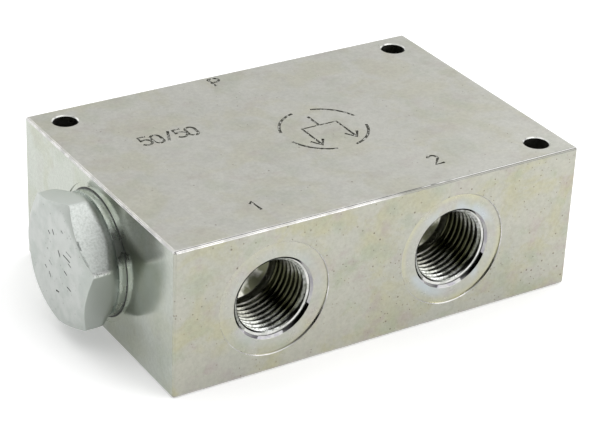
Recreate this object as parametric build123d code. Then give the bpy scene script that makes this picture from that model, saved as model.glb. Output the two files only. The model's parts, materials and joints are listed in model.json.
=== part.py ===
from build123d import *
import os
from math import radians, tan

# Hydraulic flow divider: a steel block with one supply port, two outlet ports and a blind bore
# that holds two linked spools behind a hexagon plug.
# All lengths are in millimetres. The origin is the centre of the block's bottom face,
# +X runs along the spool axis away from the plug, -Y faces the outlet ports and +Z is up.

# Block
BODY_LENGTH = 117.0
BODY_WIDTH = 80.0
BODY_HEIGHT = 40.0
EDGE_BREAK = 0.45          # chamfer along the top and bottom edges
CORNER_BREAK = 0.4         # chamfer on the four upright edges
AXIS_HEIGHT = 20.0         # spool axis and port axes above the base
SUPPLY_FROM_FACE = 53.5    # plug face of the block to the supply port's axis
OUTLET_OFFSET = 26.0       # supply axis to each outlet axis

# Mounting holes
MOUNT_HOLE_DIA = 6.5
MOUNT_HOLE_BREAK = 0.3
MOUNT_FROM_END = 8.0       # hole axis to the block's end face
MOUNT_FROM_SIDE = 7.0      # hole axis to the block's long side

# Ports, G 1/2 parallel pipe thread; the wall is cut to the thread's full diameter
PORT_THREAD_DIA = 20.955
PORT_DRILL_DIA = 19.0
PORT_MOUTH_DIA = 22.0      # outer edge of the 45 degree countersink
PORT_SPOTFACE_DIA = 30.4
PORT_SPOTFACE_DEPTH = 0.4
PORT_THREAD_DEPTH = 16.0
PORT_DRILL_DEPTH = 18.0
DRILL_POINT_ANGLE = 118.0
OUTLET_PASSAGE_DIA = 7.0
SUPPLY_PASSAGE_DIA = 10.0

# Spool bore and its annular grooves
BORE_DIA = 22.0
GROOVE_DIA = 26.0
SUPPLY_GROOVE_WIDTH = 12.0
OUTLET_GROOVE_WIDTH = 8.0
POCKET_DIA = 14.2          # spring pocket beyond the bore and inside the plug
POCKET_DEPTH = 11.4

# Hexagon plug, G 3/4, and its flat sealing ring
PLUG_THREAD_DIA = 26.441
PLUG_THREAD_CLEARANCE = 0.05
PLUG_MOUTH_DIA = 28.4
PLUG_SPOTFACE_DIA = 35.5
PLUG_SPOTFACE_DEPTH = 0.25
PLUG_RUNOUT = 1.1          # threaded hole beyond the end of the plug
PLUG_UNDERCUT_DIA = 24.0
PLUG_UNDERCUT_WIDTH = 2.8
PLUG_END_BREAK = 1.0
HEX_ACROSS_FLATS = 32.0
HEX_CORNER_DIA = 36.6      # the corners are turned down a little from sharp
HEX_HEIGHT = 9.5
HEX_CROWN_DIA = 30.4       # flat face inside the end chamfer
HEX_SEAT_DIA = 30.8        # flat face inside the chamfer next to the ring
HEX_CHAMFER_ANGLE = 30.0
HEX_TURN = 165.0           # how far the plug was tightened, one corner measured from +Y
RING_INNER_DIA = 27.0
RING_OUTER_DIA = 32.2
RING_THICKNESS = 2.0

# Spools
SPOOL_CLEARANCE = 0.02     # radial
SPOOL_GAP = 8.0            # between the spools' inner faces
SPOOL_TAIL = 10.0          # outlet axis to a spool's outer end
SPOOL_STROKE = 4.0
STOP_CLEARANCE = 0.1
SPOOL_END_BREAK = 0.3
NECK_DIA = 17.0
NECK_LENGTH = 11.0
SPOOL_BORE_DIA = 14.0
INLET_BORE_DIA = 10.0
INLET_CHAMBER = 6.0        # between the link's slot and the orifice disc
INLET_HOLE_DIA = 4.5
INLET_HOLE_COUNT = 4
METERING_HOLE_DIA = 6.0
METERING_HOLE_COUNT = 4

# Link between the spools, a turned pin with a head at each end
LINK_DIA = 6.0
LINK_HEAD_DIA = 11.0
LINK_HEAD_LENGTH = 3.0
LINK_HEAD_DEPTH = 3.0      # spool's inner face to the head
LINK_HEAD_BREAK = 0.4
LINK_PLAY = 0.75           # how far a head can slide back in its slot
LINK_SIDE_CLEARANCE = 0.3
LINK_FACE_CLEARANCE = 0.05

# Orifice disc and its retaining ring in each spool
ORIFICE_THICKNESS = 2.5
ORIFICE_DIA = 5.0
ORIFICE_CLEARANCE = 0.05
CLIP_THICKNESS = 1.0
CLIP_GROOVE_DEPTH = 0.6
CLIP_RADIAL_WIDTH = 1.8
CLIP_CLEARANCE = 0.05
CLIP_OPENING = 4.0

# Springs and their seats
SEAT_CLEARANCE = 0.1
SPRING_SEAT_THICKNESS = 1.5
SPRING_SEAT_HOLE_DIA = 8.5
SHIM_THICKNESS = 1.0
SHIM_HOLE_DIA = 7.0
OUTER_SPRING_WIRE = 1.4
OUTER_SPRING_DIA = 10.8    # mean diameter of the coil
OUTER_SPRING_TURNS = 5
CENTRE_WASHER_THICKNESS = 1.0
CENTRE_WASHER_DIA = 15.6
CENTRE_SPRING_WIRE = 1.0
CENTRE_SPRING_DIA = 13.2   # mean diameter of the coil
CENTRE_SPRING_TURNS = 2.5
WIRE_FLAT_COUNT = 8

# Places worked out from the sizes above; u is the distance from the supply axis along the bore
PLUG_FACE_X = -BODY_LENGTH / 2
SUPPLY_X = PLUG_FACE_X + SUPPLY_FROM_FACE
INNER_FACE_U = SPOOL_GAP / 2
LINK_HEAD_U = INNER_FACE_U + LINK_HEAD_DEPTH
SLOT_FLOOR_U = LINK_HEAD_U + LINK_HEAD_LENGTH + LINK_PLAY + LINK_FACE_CLEARANCE
ORIFICE_SEAT_U = SLOT_FLOOR_U + INLET_CHAMBER
CLIP_U = ORIFICE_SEAT_U + ORIFICE_THICKNESS + CLIP_CLEARANCE
SPRING_SEAT_U = CLIP_U + CLIP_THICKNESS + CLIP_CLEARANCE
OUTER_END_U = OUTLET_OFFSET + SPOOL_TAIL
STOP_U = OUTER_END_U + SPOOL_STROKE + STOP_CLEARANCE
POCKET_FLOOR_U = STOP_U + POCKET_DEPTH
THREAD_END_X = SUPPLY_X - STOP_U + PLUG_RUNOUT
RING_SEAT_X = PLUG_FACE_X + PLUG_SPOTFACE_DEPTH
HEX_SEAT_X = RING_SEAT_X - RING_THICKNESS
HEX_END_X = HEX_SEAT_X - HEX_HEIGHT


def turned(*profile):
    """Solid of revolution about X; each profile point is (x, radius)."""
    outline = Polyline(*profile, close=True)
    return revolve(make_face(outline), Axis.X)


def ring(start, end, inner_dia, outer_dia):
    """Flat ring about X between two places along it."""
    inner, outer = inner_dia / 2, outer_dia / 2
    return turned((start, inner), (end, inner), (end, outer), (start, outer))


def rod(start, end, dia):
    """Plain cylinder about X between two places along it."""
    return turned((start, 0), (end, 0), (end, dia / 2), (start, dia / 2))


def on_axis(part):
    """Lifts a part made about X to the height of the spool axis."""
    return Pos(0, 0, AXIS_HEIGHT) * part


def right_side(part):
    """Places a part made along u on the side away from the plug."""
    return Pos(SUPPLY_X, 0, AXIS_HEIGHT) * part


def left_side(part):
    """Places the same part turned round, on the side of the plug."""
    return Pos(SUPPLY_X, 0, AXIS_HEIGHT) * Rot(0, 0, 180) * part


def block():
    """The bare block with its edges broken."""
    body = Pos(0, 0, BODY_HEIGHT / 2) * Box(BODY_LENGTH, BODY_WIDTH, BODY_HEIGHT)
    rims = body.faces().sort_by(Axis.Z)[0].edges() + body.faces().sort_by(Axis.Z)[-1].edges()
    body = chamfer(rims, EDGE_BREAK)
    return chamfer(body.edges().filter_by(Axis.Z), CORNER_BREAK)


def port_cutter(passage_dia):
    """Port, drill point and passage, cut along X from the block's face at x = 0."""
    mouth, thread = PORT_MOUTH_DIA / 2, PORT_THREAD_DIA / 2
    drill, passage = PORT_DRILL_DIA / 2, passage_dia / 2
    floor = PORT_SPOTFACE_DEPTH
    point = tan(radians(90 - DRILL_POINT_ANGLE / 2))
    return turned(
        (-EDGE_BREAK, 0),
        (-EDGE_BREAK, PORT_SPOTFACE_DIA / 2),
        (floor, PORT_SPOTFACE_DIA / 2),
        (floor, mouth),
        (floor + mouth - thread, thread),
        (floor + PORT_THREAD_DEPTH, thread),
        (floor + PORT_THREAD_DEPTH + thread - drill, drill),
        (PORT_DRILL_DEPTH, drill),
        (PORT_DRILL_DEPTH + (drill - passage) * point, passage),
        (BODY_WIDTH / 2, passage),
        (BODY_WIDTH / 2, 0),
    )


def ports():
    """Supply port in the back face, outlet ports in the front face."""
    front = Pos(0, -BODY_WIDTH / 2, AXIS_HEIGHT) * Rot(0, 0, 90)
    back = Pos(0, BODY_WIDTH / 2, AXIS_HEIGHT) * Rot(0, 0, -90)
    outlet = front * port_cutter(OUTLET_PASSAGE_DIA)
    supply = back * port_cutter(SUPPLY_PASSAGE_DIA)
    return [
        Pos(SUPPLY_X, 0, 0) * supply,
        Pos(SUPPLY_X - OUTLET_OFFSET, 0, 0) * outlet,
        Pos(SUPPLY_X + OUTLET_OFFSET, 0, 0) * outlet,
    ]


def groove(centre, width):
    """Annular groove in the spool bore, which a port's passage opens into."""
    return rod(centre - width / 2, centre + width / 2, GROOVE_DIA)


def spool_bore():
    """Blind bore with the plug's threaded mouth, three grooves and the spring pocket."""
    thread, mouth = PLUG_THREAD_DIA / 2, PLUG_MOUTH_DIA / 2
    bore_end = SUPPLY_X + STOP_U
    cutter = turned(
        (PLUG_FACE_X - EDGE_BREAK, 0),
        (PLUG_FACE_X - EDGE_BREAK, PLUG_SPOTFACE_DIA / 2),
        (RING_SEAT_X, PLUG_SPOTFACE_DIA / 2),
        (RING_SEAT_X, mouth),
        (RING_SEAT_X + mouth - thread, thread),
        (THREAD_END_X, thread),
        (THREAD_END_X, BORE_DIA / 2),
        (bore_end, BORE_DIA / 2),
        (bore_end, POCKET_DIA / 2),
        (bore_end + POCKET_DEPTH, POCKET_DIA / 2),
        (bore_end + POCKET_DEPTH, 0),
    )
    cutter += groove(SUPPLY_X, SUPPLY_GROOVE_WIDTH)
    cutter += groove(SUPPLY_X - OUTLET_OFFSET, OUTLET_GROOVE_WIDTH)
    cutter += groove(SUPPLY_X + OUTLET_OFFSET, OUTLET_GROOVE_WIDTH)
    return on_axis(cutter)


def mount_holes():
    """Three plain holes from top to bottom, each with broken edges."""
    radius = MOUNT_HOLE_DIA / 2
    wide = radius + MOUNT_HOLE_BREAK
    outline = Polyline(
        (0, 0),
        (wide, 0),
        (radius, MOUNT_HOLE_BREAK),
        (radius, BODY_HEIGHT - MOUNT_HOLE_BREAK),
        (wide, BODY_HEIGHT),
        (0, BODY_HEIGHT),
        close=True,
    )
    hole = revolve(make_face(Plane.XZ * outline), Axis.Z)
    x = BODY_LENGTH / 2 - MOUNT_FROM_END
    y = BODY_WIDTH / 2 - MOUNT_FROM_SIDE
    return [Pos(px, py, 0) * hole for px, py in ((-x, y), (x, y), (x, -y))]


def valve_body():
    """The drilled and bored block."""
    return block() - spool_bore() - ports() - mount_holes()


def end_plug():
    """Hexagon plug, chamfered on both sides, with a hollow threaded shank."""
    thread = PLUG_THREAD_DIA / 2 - PLUG_THREAD_CLEARANCE
    undercut = PLUG_UNDERCUT_DIA / 2
    crown, seat, corner = HEX_CROWN_DIA / 2, HEX_SEAT_DIA / 2, HEX_CORNER_DIA / 2
    slope = tan(radians(HEX_CHAMFER_ANGLE))
    shank_end = SUPPLY_X - STOP_U
    hexagon = RegularPolygon(HEX_ACROSS_FLATS / 2, 6, major_radius=False)
    prism = extrude(Rot(0, 0, HEX_TURN) * hexagon, HEX_HEIGHT)
    prism = Plane((HEX_END_X, 0, 0), x_dir=(0, 1, 0), z_dir=(1, 0, 0)) * prism
    turning = turned(
        (HEX_END_X, 0),
        (HEX_END_X, crown),
        (HEX_END_X + (corner - crown) * slope, corner),
        (HEX_SEAT_X - (corner - seat) * slope, corner),
        (HEX_SEAT_X, seat),
        (HEX_SEAT_X, 0),
    )
    shank = turned(
        (HEX_SEAT_X, 0),
        (HEX_SEAT_X, undercut),
        (HEX_SEAT_X + PLUG_UNDERCUT_WIDTH, undercut),
        (HEX_SEAT_X + PLUG_UNDERCUT_WIDTH + thread - undercut, thread),
        (shank_end - PLUG_END_BREAK, thread),
        (shank_end, thread - PLUG_END_BREAK),
        (shank_end, POCKET_DIA / 2),
        (shank_end - POCKET_DEPTH, POCKET_DIA / 2),
        (shank_end - POCKET_DEPTH, 0),
    )
    return on_axis((prism & turning) + shank)


def sealing_ring():
    """Flat metal ring between the plug's hexagon and the block."""
    return on_axis(ring(HEX_SEAT_X, RING_SEAT_X, RING_INNER_DIA, RING_OUTER_DIA))


def link_slot():
    """T-shaped slot in a spool's neck, open on top, that a link head drops into sideways."""
    head = LINK_HEAD_DIA / 2 + LINK_SIDE_CLEARANCE
    neck = LINK_DIA / 2 + LINK_SIDE_CLEARANCE
    shoulder = LINK_HEAD_U - LINK_FACE_CLEARANCE
    reach = NECK_DIA / 2

    def keyhole(start, end, half_width):
        slot = rod(start, end, 2 * half_width)
        middle, length = (start + end) / 2, end - start
        return slot + Pos(middle, 0, reach / 2) * Box(length, 2 * half_width, reach)

    return keyhole(0, shoulder, neck) + keyhole(shoulder, SLOT_FLOOR_U, head)


def radial_holes(place, dia, count, turn):
    """Round holes drilled inwards through a spool's wall."""
    depth = BORE_DIA / 2
    hole = Pos(place, 0, depth / 2) * Cylinder(dia / 2, depth)
    return [Rot(turn + 360 * i / count, 0, 0) * hole for i in range(count)]


def spool():
    """Hollow spool with a slotted neck, inlet holes, an orifice seat and metering holes."""
    land = BORE_DIA / 2 - SPOOL_CLEARANCE
    neck = NECK_DIA / 2
    neck_end = INNER_FACE_U + NECK_LENGTH
    blank = turned(
        (INNER_FACE_U, 0),
        (INNER_FACE_U, neck),
        (neck_end, neck),
        (neck_end, land - SPOOL_END_BREAK),
        (neck_end + SPOOL_END_BREAK, land),
        (OUTER_END_U - SPOOL_END_BREAK, land),
        (OUTER_END_U, land - SPOOL_END_BREAK),
        (OUTER_END_U, 0),
    )
    bore = rod(SLOT_FLOOR_U, ORIFICE_SEAT_U, INLET_BORE_DIA)
    bore += rod(ORIFICE_SEAT_U, OUTER_END_U, SPOOL_BORE_DIA)
    bore += rod(CLIP_U, CLIP_U + CLIP_THICKNESS + CLIP_CLEARANCE, SPOOL_BORE_DIA + 2 * CLIP_GROOVE_DEPTH)
    inlet_u = (SLOT_FLOOR_U + neck_end) / 2
    inlets = radial_holes(inlet_u, INLET_HOLE_DIA, INLET_HOLE_COUNT, 180 / INLET_HOLE_COUNT)
    metering = radial_holes(OUTLET_OFFSET, METERING_HOLE_DIA, METERING_HOLE_COUNT, 0)
    return blank - link_slot() - bore - inlets - metering


def coupling_link():
    """Turned pin whose two heads hold the spools together with a little play."""
    shank, head = LINK_DIA / 2, LINK_HEAD_DIA / 2
    tip = LINK_HEAD_U + LINK_HEAD_LENGTH
    half = [
        (LINK_HEAD_U, shank),
        (LINK_HEAD_U, head),
        (tip - LINK_HEAD_BREAK, head),
        (tip, head - LINK_HEAD_BREAK),
    ]
    mirrored = [(-x, r) for x, r in reversed(half)]
    return turned((-tip, 0), *mirrored, *half, (tip, 0))


def orifice_disc():
    """Disc with the sharp-edged measuring orifice, against its shoulder in the spool."""
    outer = SPOOL_BORE_DIA / 2 - ORIFICE_CLEARANCE
    start, end = ORIFICE_SEAT_U, ORIFICE_SEAT_U + ORIFICE_THICKNESS
    hole = ORIFICE_DIA / 2
    edge = ORIFICE_THICKNESS / 2
    return turned((start, hole), (start + edge, hole), (end, hole + edge), (end, outer), (start, outer))


def orifice_clip():
    """Open retaining ring, sprung into its groove behind the orifice disc."""
    outer_dia = SPOOL_BORE_DIA + 2 * (CLIP_GROOVE_DEPTH - CLIP_CLEARANCE)
    clip = ring(CLIP_U, CLIP_U + CLIP_THICKNESS, outer_dia - 2 * CLIP_RADIAL_WIDTH, outer_dia)
    middle = CLIP_U + CLIP_THICKNESS / 2
    return clip - Pos(middle, 0, outer_dia / 2) * Box(2 * CLIP_THICKNESS, CLIP_OPENING, outer_dia)


def spring_seat():
    """Ring that carries the outer spring inside the spool."""
    outer_dia = SPOOL_BORE_DIA - 2 * SEAT_CLEARANCE
    return ring(SPRING_SEAT_U, SPRING_SEAT_U + SPRING_SEAT_THICKNESS, SPRING_SEAT_HOLE_DIA, outer_dia)


def shim():
    """Ring at the bottom of a spring pocket that sets the spring's preload."""
    outer_dia = POCKET_DIA - 2 * SEAT_CLEARANCE
    return ring(POCKET_FLOOR_U - SHIM_THICKNESS, POCKET_FLOOR_U, SHIM_HOLE_DIA, outer_dia)


def centre_washer():
    """Slotted washer between a spool's inner face and the centre spring."""
    slot = LINK_DIA / 2 + LINK_SIDE_CLEARANCE
    start = INNER_FACE_U - CENTRE_WASHER_THICKNESS
    washer = ring(start, INNER_FACE_U, 2 * slot, CENTRE_WASHER_DIA)
    middle = start + CENTRE_WASHER_THICKNESS / 2
    reach = CENTRE_WASHER_DIA / 2
    return washer - Pos(middle, 0, reach / 2) * Box(2 * CENTRE_WASHER_THICKNESS, 2 * slot, reach)


def spring(start, end, mean_dia, wire, turns):
    """Coil spring along X with both ends ground; flats on the round wire keep it light."""
    length = end - start
    coil = Helix(length / turns, length + wire, mean_dia / 2)
    section = Plane(coil @ 0, z_dir=coil % 0) * RegularPolygon(wire / 2, WIRE_FLAT_COUNT)
    wound = Plane((start - wire / 2, 0, 0), x_dir=(0, 1, 0), z_dir=(1, 0, 0)) * sweep(section, coil)
    return wound & rod(start, end, mean_dia + 4 * wire)


def outer_spring():
    """Centring spring between a spool's seat and the shim in its pocket."""
    start = SPRING_SEAT_U + SPRING_SEAT_THICKNESS
    end = POCKET_FLOOR_U - SHIM_THICKNESS
    return spring(start, end, OUTER_SPRING_DIA, OUTER_SPRING_WIRE, OUTER_SPRING_TURNS)


def centre_spring():
    """Light spring round the link that pushes the spools apart."""
    reach = INNER_FACE_U - CENTRE_WASHER_THICKNESS
    return spring(-reach, reach, CENTRE_SPRING_DIA, CENTRE_SPRING_WIRE, CENTRE_SPRING_TURNS)


def main():
    """Writes each piece to its own file."""
    os.makedirs("parts", exist_ok=True)
    pieces = {
        "valve_body": valve_body(),
        "end_plug": end_plug(),
        "sealing_ring": sealing_ring(),
        "coupling_link": right_side(coupling_link()),
        "centre_spring": right_side(centre_spring()),
    }
    pairs = {
        "spool": spool(),
        "centre_washer": centre_washer(),
        "orifice_disc": orifice_disc(),
        "orifice_clip": orifice_clip(),
        "spring_seat": spring_seat(),
        "outer_spring": outer_spring(),
        "shim": shim(),
    }
    for name, part in pairs.items():
        pieces[name + "_left"] = left_side(part)
        pieces[name + "_right"] = right_side(part)
    for name, part in pieces.items():
        export_step(part, f"parts/{name}.step")


main()
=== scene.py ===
import json
import math

import bmesh
import bpy
from mathutils import Matrix, Vector


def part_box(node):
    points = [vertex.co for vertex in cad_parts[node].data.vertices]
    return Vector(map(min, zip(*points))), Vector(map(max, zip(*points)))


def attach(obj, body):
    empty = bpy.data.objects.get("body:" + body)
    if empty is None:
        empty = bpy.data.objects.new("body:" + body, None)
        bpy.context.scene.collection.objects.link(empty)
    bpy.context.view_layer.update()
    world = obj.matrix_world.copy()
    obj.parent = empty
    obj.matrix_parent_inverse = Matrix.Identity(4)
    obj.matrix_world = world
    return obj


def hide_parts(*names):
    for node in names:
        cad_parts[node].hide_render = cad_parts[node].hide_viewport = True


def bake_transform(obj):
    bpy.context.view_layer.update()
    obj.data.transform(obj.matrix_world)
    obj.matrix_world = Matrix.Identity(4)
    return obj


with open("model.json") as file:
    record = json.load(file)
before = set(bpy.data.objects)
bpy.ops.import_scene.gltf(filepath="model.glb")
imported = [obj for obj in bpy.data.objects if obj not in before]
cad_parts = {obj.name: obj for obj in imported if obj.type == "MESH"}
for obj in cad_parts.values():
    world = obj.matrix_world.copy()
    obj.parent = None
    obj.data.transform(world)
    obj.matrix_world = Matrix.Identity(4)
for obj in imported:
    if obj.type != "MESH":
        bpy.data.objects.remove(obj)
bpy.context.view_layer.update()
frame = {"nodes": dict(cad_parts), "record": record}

MM = 0.001
MERGE = 1e-4              # points nearer than this are one point
NUDGE = 0.01              # allowance where a face's centre is compared with a radius

# Sizes are in millimetres, as in the part's source, where nothing else is said.
BODY_LOW, BODY_HIGH = (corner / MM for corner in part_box("valve_body"))
PLUG_LOW, PLUG_HIGH = (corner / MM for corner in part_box("end_plug"))
MOUNTS = {mount["name"]: mount for mount in frame["record"]["mounts"]}
PORTS = [MOUNTS[name] for name in ("outlet_port_1", "outlet_port_2", "supply_port")]
AXIS_HEIGHT = PORTS[0]["pos_m"][2] / MM

# Block
EDGE_BREAK = 0.45
CORNER_BREAK = 0.4
EDGE_ROUNDING = 0.19
ROUNDED_ANGLE = 15.0      # degrees, where two faces of the blank meet
BLOCK_SHARP_ANGLE = 28.0  # degrees, for shading
MOUNT_HOLE_RADIUS = MOUNTS["rear_bolt_holes"]["dims"]["hole_r_mm"]
MOUNT_HOLE_BREAK = 0.3
MOUNT_HOLE_COLUMNS = 64

# Ports, G 1/2; each depth is measured from the block's face, apart from those of the mouth
THREAD_PITCH = 1.814
THREAD_RADIUS = PORTS[0]["dims"]["r_mm"]
THREAD_HALF_ANGLE = math.radians(27.5)
THREAD_ROOT_ROUNDING = 0.137 * THREAD_PITCH
THREAD_FULL_DEPTH = 13.6
THREAD_END_DEPTH = 16.4
THREAD_PHASE = 0.5        # share of a pitch
DRILL_RADIUS = 9.5
DRILL_DEPTH = 18.0
DRILL_ROUNDING = 0.3
MOUTH_RADIUS = 11.1
MOUTH_ROUNDING = 0.08
MOUTH_CONE_DEPTH = 0.6    # then the wall, the shoulder and the lead-in follow
MOUTH_WALL_DEPTH = 0.25
SHOULDER_DEPTH = 0.1
SHOULDER_RADIUS = 9.85
LEAD_DEPTH = 0.5
LEAD_RINGS = 12
RING_GAP = 0.02
SPOTFACE_RADIUS = 15.2
SPOTFACE_DEPTH = 0.4
SPOTFACE_EDGE = 0.18
OUTLET_PASSAGE_RADIUS = 3.5
SUPPLY_PASSAGE_RADIUS = 5.0
DRILL_POINT_SLOPE = math.tan(math.radians(90 - 118 / 2))
PORT_COLUMNS = 160

# Spool bore
BORE_RADIUS = 11.0
GROOVE_RADIUS = 13.0
SUPPLY_GROOVE_WIDTH = 12.0
OUTLET_GROOVE_WIDTH = 8.0
POCKET_RADIUS = 7.1
POCKET_DEPTH = 11.4
STOP_FROM_SUPPLY = 40.1
PLUG_RUNOUT = 1.1
PLUG_THREAD_RADIUS = 26.441 / 2
PLUG_MOUTH_RADIUS = 14.2
PLUG_SPOTFACE_RADIUS = 17.75
RING_RADIUS = (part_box("sealing_ring")[1].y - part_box("sealing_ring")[0].y) / 2 / MM
# width of the painted shade on the plug's seat round the sealing ring
RING_SHADE = 0.5
PLUG_SPOTFACE_DEPTH = 0.25
BORE_COLUMNS = 96

# Hexagon plug
HEX_APOTHEM = 16.0
HEX_CORNER_RADIUS = 18.3
HEX_CORNER_ROUNDING = 0.35
HEX_HEIGHT = 9.5
HEX_CROWN_RADIUS = 15.2
HEX_CROWN_EASE = 4.0      # width of the end face's rim that the rounding may take
HEX_CROWN_ROUNDING = 6.0
HEX_EDGE_ROUNDING = 0.1
HEX_BACK_LENGTH = 1.6
HEX_BACK_ROUNDING = 3.0
HEX_SEAT_RADIUS = 15.4
HEX_SEAT_EASE = 1.0
HEX_CHAMFER_SLOPE = math.tan(math.radians(30))
HEX_TURN = 165.0
UPPER_FLAT_TURN = 135.0
PLUG_THREAD_CLEARANCE = 0.05
PLUG_UNDERCUT_RADIUS = 12.0
PLUG_UNDERCUT_WIDTH = 2.8
PLUG_END_BREAK = 1.0
PLUG_COLUMNS = 360
PLUG_SHARP_ANGLE = 40.0
END_RINGS = 12
SIDE_RINGS = 9

# Stamped marks on the top face, each with the (x, y) of its centre
STAMPS = [("P", (-4.6, 36.2)), ("1", (-30.4, -29.1)), ("2", (21.8, -28.9)), ("50/50", (-31.2, 13.3))]
STAMP_GROOVE_RADIUS = 0.4
STAMP_CENTRE_HEIGHT = 0.05
STAMP_HEIGHT = 4.6
STAMP_SPACING = 0.72      # share of the height
STAMP_SLANT = 3.0         # degrees
STAMP_RISE = 0.04         # share of the height
SYMBOL_CENTRE = (6.3, -1.1)
SYMBOL_RADIUS = 11.5

# Springs: name, CAD node, bodies at the still and the moving end, wire, and the moving end's side along X
SPRINGS = [
    ("left_coil_spring", "outer_spring_left", "housing", "left_spool", 1.4, 1),
    ("right_coil_spring", "outer_spring_right", "housing", "left_spool", 1.4, -1),
    ("middle_coil_spring", "centre_spring", "left_spool", "link", 1.0, 1),
]

# Wear on the plug: dents in its end as (y, z) lines, nicks in the upper flat as (x, distance across) lines
DENT_RADIUS = 0.26
DENT_RISE = 0.3           # how far a dent's tool stands proud of the end, as a share of its radius
DENT_RISE_SPREAD = 0.2
DENT_REACH = 13.4         # from the axis, where the end face is still flat
END_DENTS = [
    [(3.5, 27.5), (2.4, 26.9)],
    [(1.2, 28.9), (0.2, 27.8)],
    [(-3.8, 30.8), (-4.9, 30.6)],
    [(5.7, 16.8), (4.6, 16.3)],
    [(3.3, 19.2), (1.6, 18.6)],
    [(3.4, 16.0), (2.4, 14.8)],
    [(-1.9, 24.6), (-3.0, 23.2)],
    [(-4.7, 24.6), (-8.5, 24.3)],
    [(-6.4, 26.3), (-9.1, 26.0)],
    [(-7.4, 23.5), (-9.0, 23.2)],
    [(-5.1, 20.3), (-6.7, 19.8)],
    [(-0.4, 12.5), (-2.1, 12.8)],
    [(-6.6, 16.6), (-8.8, 16.4)],
    [(4.3, 22.3), (3.8, 22.0)],
]
FLAT_NICKS = [
    [(-69.1, 0.1), (-69.1, -0.6), (-69.0, -2.3)],
    [(-69.0, -3.9), (-68.8, -5.0), (-68.5, -6.5)],
]

# Camera, from the block's corners and edges in the photograph
CAMERA_PLACE = (-261.3, -406.7, 278.0)
CAMERA_RIGHT = (0.85096, -0.52382, 0.0384)
CAMERA_DOWN = (-0.22069, -0.42294, -0.87888)
CAMERA_LENS = 126.3
SENSOR_WIDTH = 36.0
NEAR_CLIP = 0.01          # metres

# Floor, in metres
FLOOR_REACH = 3.0
FLOOR_DROP = 0.0001

# World: soft patches, with the direction, the dot products where each starts and is full, and brightness
GLOWS = [
    ((0, 0, 1), 0.55, 0.95, 0.3),
    ((0.54, 0.84, 0), -0.1, 0.5, 0.9),
    ((-0.985, 0.12, 0.12), 0.85, 0.97, 1.1),
    ((0.6, -0.78, 0.12), 0.8, 0.95, 0.6),
    ((0.14, -0.87, 0.44), 0.92, 0.985, 0.85),
]

# Lamps: name, place and size in metres, and power
LAMP_TARGET = (0, 0, 0.02)
LAMPS = [
    ("key", (0.56, -0.67, 0.96), 1.1, 6.2),
    ("side", (0.82, -0.98, 0.30), 0.7, 4.3),
    ("back", (1.05, 0.50, 0.60), 0.9, 1.8),
    ("fill", (-0.72, 1.02, 0.72), 1.4, 4.2),
    ("overhead", (-0.15, 0.1, 1.2), 1.4, 7),
]

# Plating: its plain colour, the tints of its film, and its pinholes
GREY = (0.555, 0.555, 0.525)
WARM = (0.415, 0.41, 0.34)
YELLOW = (0.44, 0.425, 0.29)
GREEN = (0.37, 0.405, 0.305)
PINK = (0.42, 0.365, 0.35)
BLUE = (0.46, 0.51, 0.56)
FILM_YELLOW = (0.50, 0.49, 0.33)
DULL = (0.40, 0.41, 0.375)
PIT = (0.10, 0.065, 0.045)

# Pieces that keep their CAD shape, by slot: light and dark colour, and the ends of the roughness
INNER_FINISHES = {
    "ring_metal": ((0.66, 0.70, 0.66), (0.55, 0.59, 0.55), 0.24, 0.34),
    "spool_steel": ((0.52, 0.52, 0.54), (0.42, 0.42, 0.44), 0.12, 0.22),
    "pin_steel": ((0.46, 0.46, 0.48), (0.36, 0.36, 0.38), 0.25, 0.4),
    "spring_steel": ((0.26, 0.26, 0.28), (0.16, 0.15, 0.15), 0.3, 0.45),
    "clip_steel": ((0.16, 0.16, 0.17), (0.09, 0.09, 0.1), 0.4, 0.55),
}

# Zones of the block: how level a face is, from its normal's z, and where the line of painted shade and
# painted highlight runs along the top front edge
UPRIGHT = 0.3
LEVEL = 0.9
EDGE_LINE_RANGE = (0.75, 0.996)
FRONT_TILT = 0.05         # least lean to the front of a normal on the front edges
END_NORMAL = 0.99
SHOULDER_NORMAL = 0.8
FLAT_NORMAL = 0.999
FLAT_GAP = 1e-3           # a face nearer than this to an outer plane lies in it
END_GAP = 1.0             # from either end, where the bore's walls aren't met
CONE_GAP = 0.2
PASSAGE_REACH = 20.0      # from the spool axis to where the ports' passages end
HIGHLIGHT_SIDE = (0.85, -0.53)  # right and up from a port's axis to the part of its shoulder with the painted highlight
HIGHLIGHT_LIMIT = -0.25

# Materials of the block's faces, in the order of make_block's list
(
    MILLED_TOP, TURNED, THREADED, STAMPED, GROUND, MILLED_SIDE, BORED,
    SHADED_GAP, DRILLED, EDGE, MOUTH, SHOULDER, PAINTED_EDGE_LINE,
) = range(13)


def placed(name, data):
    """New object in the scene that holds the data."""
    item = bpy.data.objects.new(name, data)
    bpy.context.scene.collection.objects.link(item)
    return item


def finished(name, mesh, sharp_angle):
    """Scene object for a mesh in millimetres: to metres, smooth apart from its sharp edges."""
    mesh.transform(Matrix.Scale(MM, 4))
    mesh.shade_smooth()
    mesh.set_sharp_from_angle(angle=math.radians(sharp_angle))
    mesh.name = name
    return placed(name, mesh)


def cleaned(mesh):
    """The mesh with its doubled points merged and all its faces turned outwards."""
    work = bmesh.new()
    work.from_mesh(mesh)
    bmesh.ops.remove_doubles(work, verts=work.verts, dist=MERGE)
    bmesh.ops.recalc_face_normals(work, faces=work.faces)
    work.to_mesh(mesh)
    work.free()
    return mesh


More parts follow.
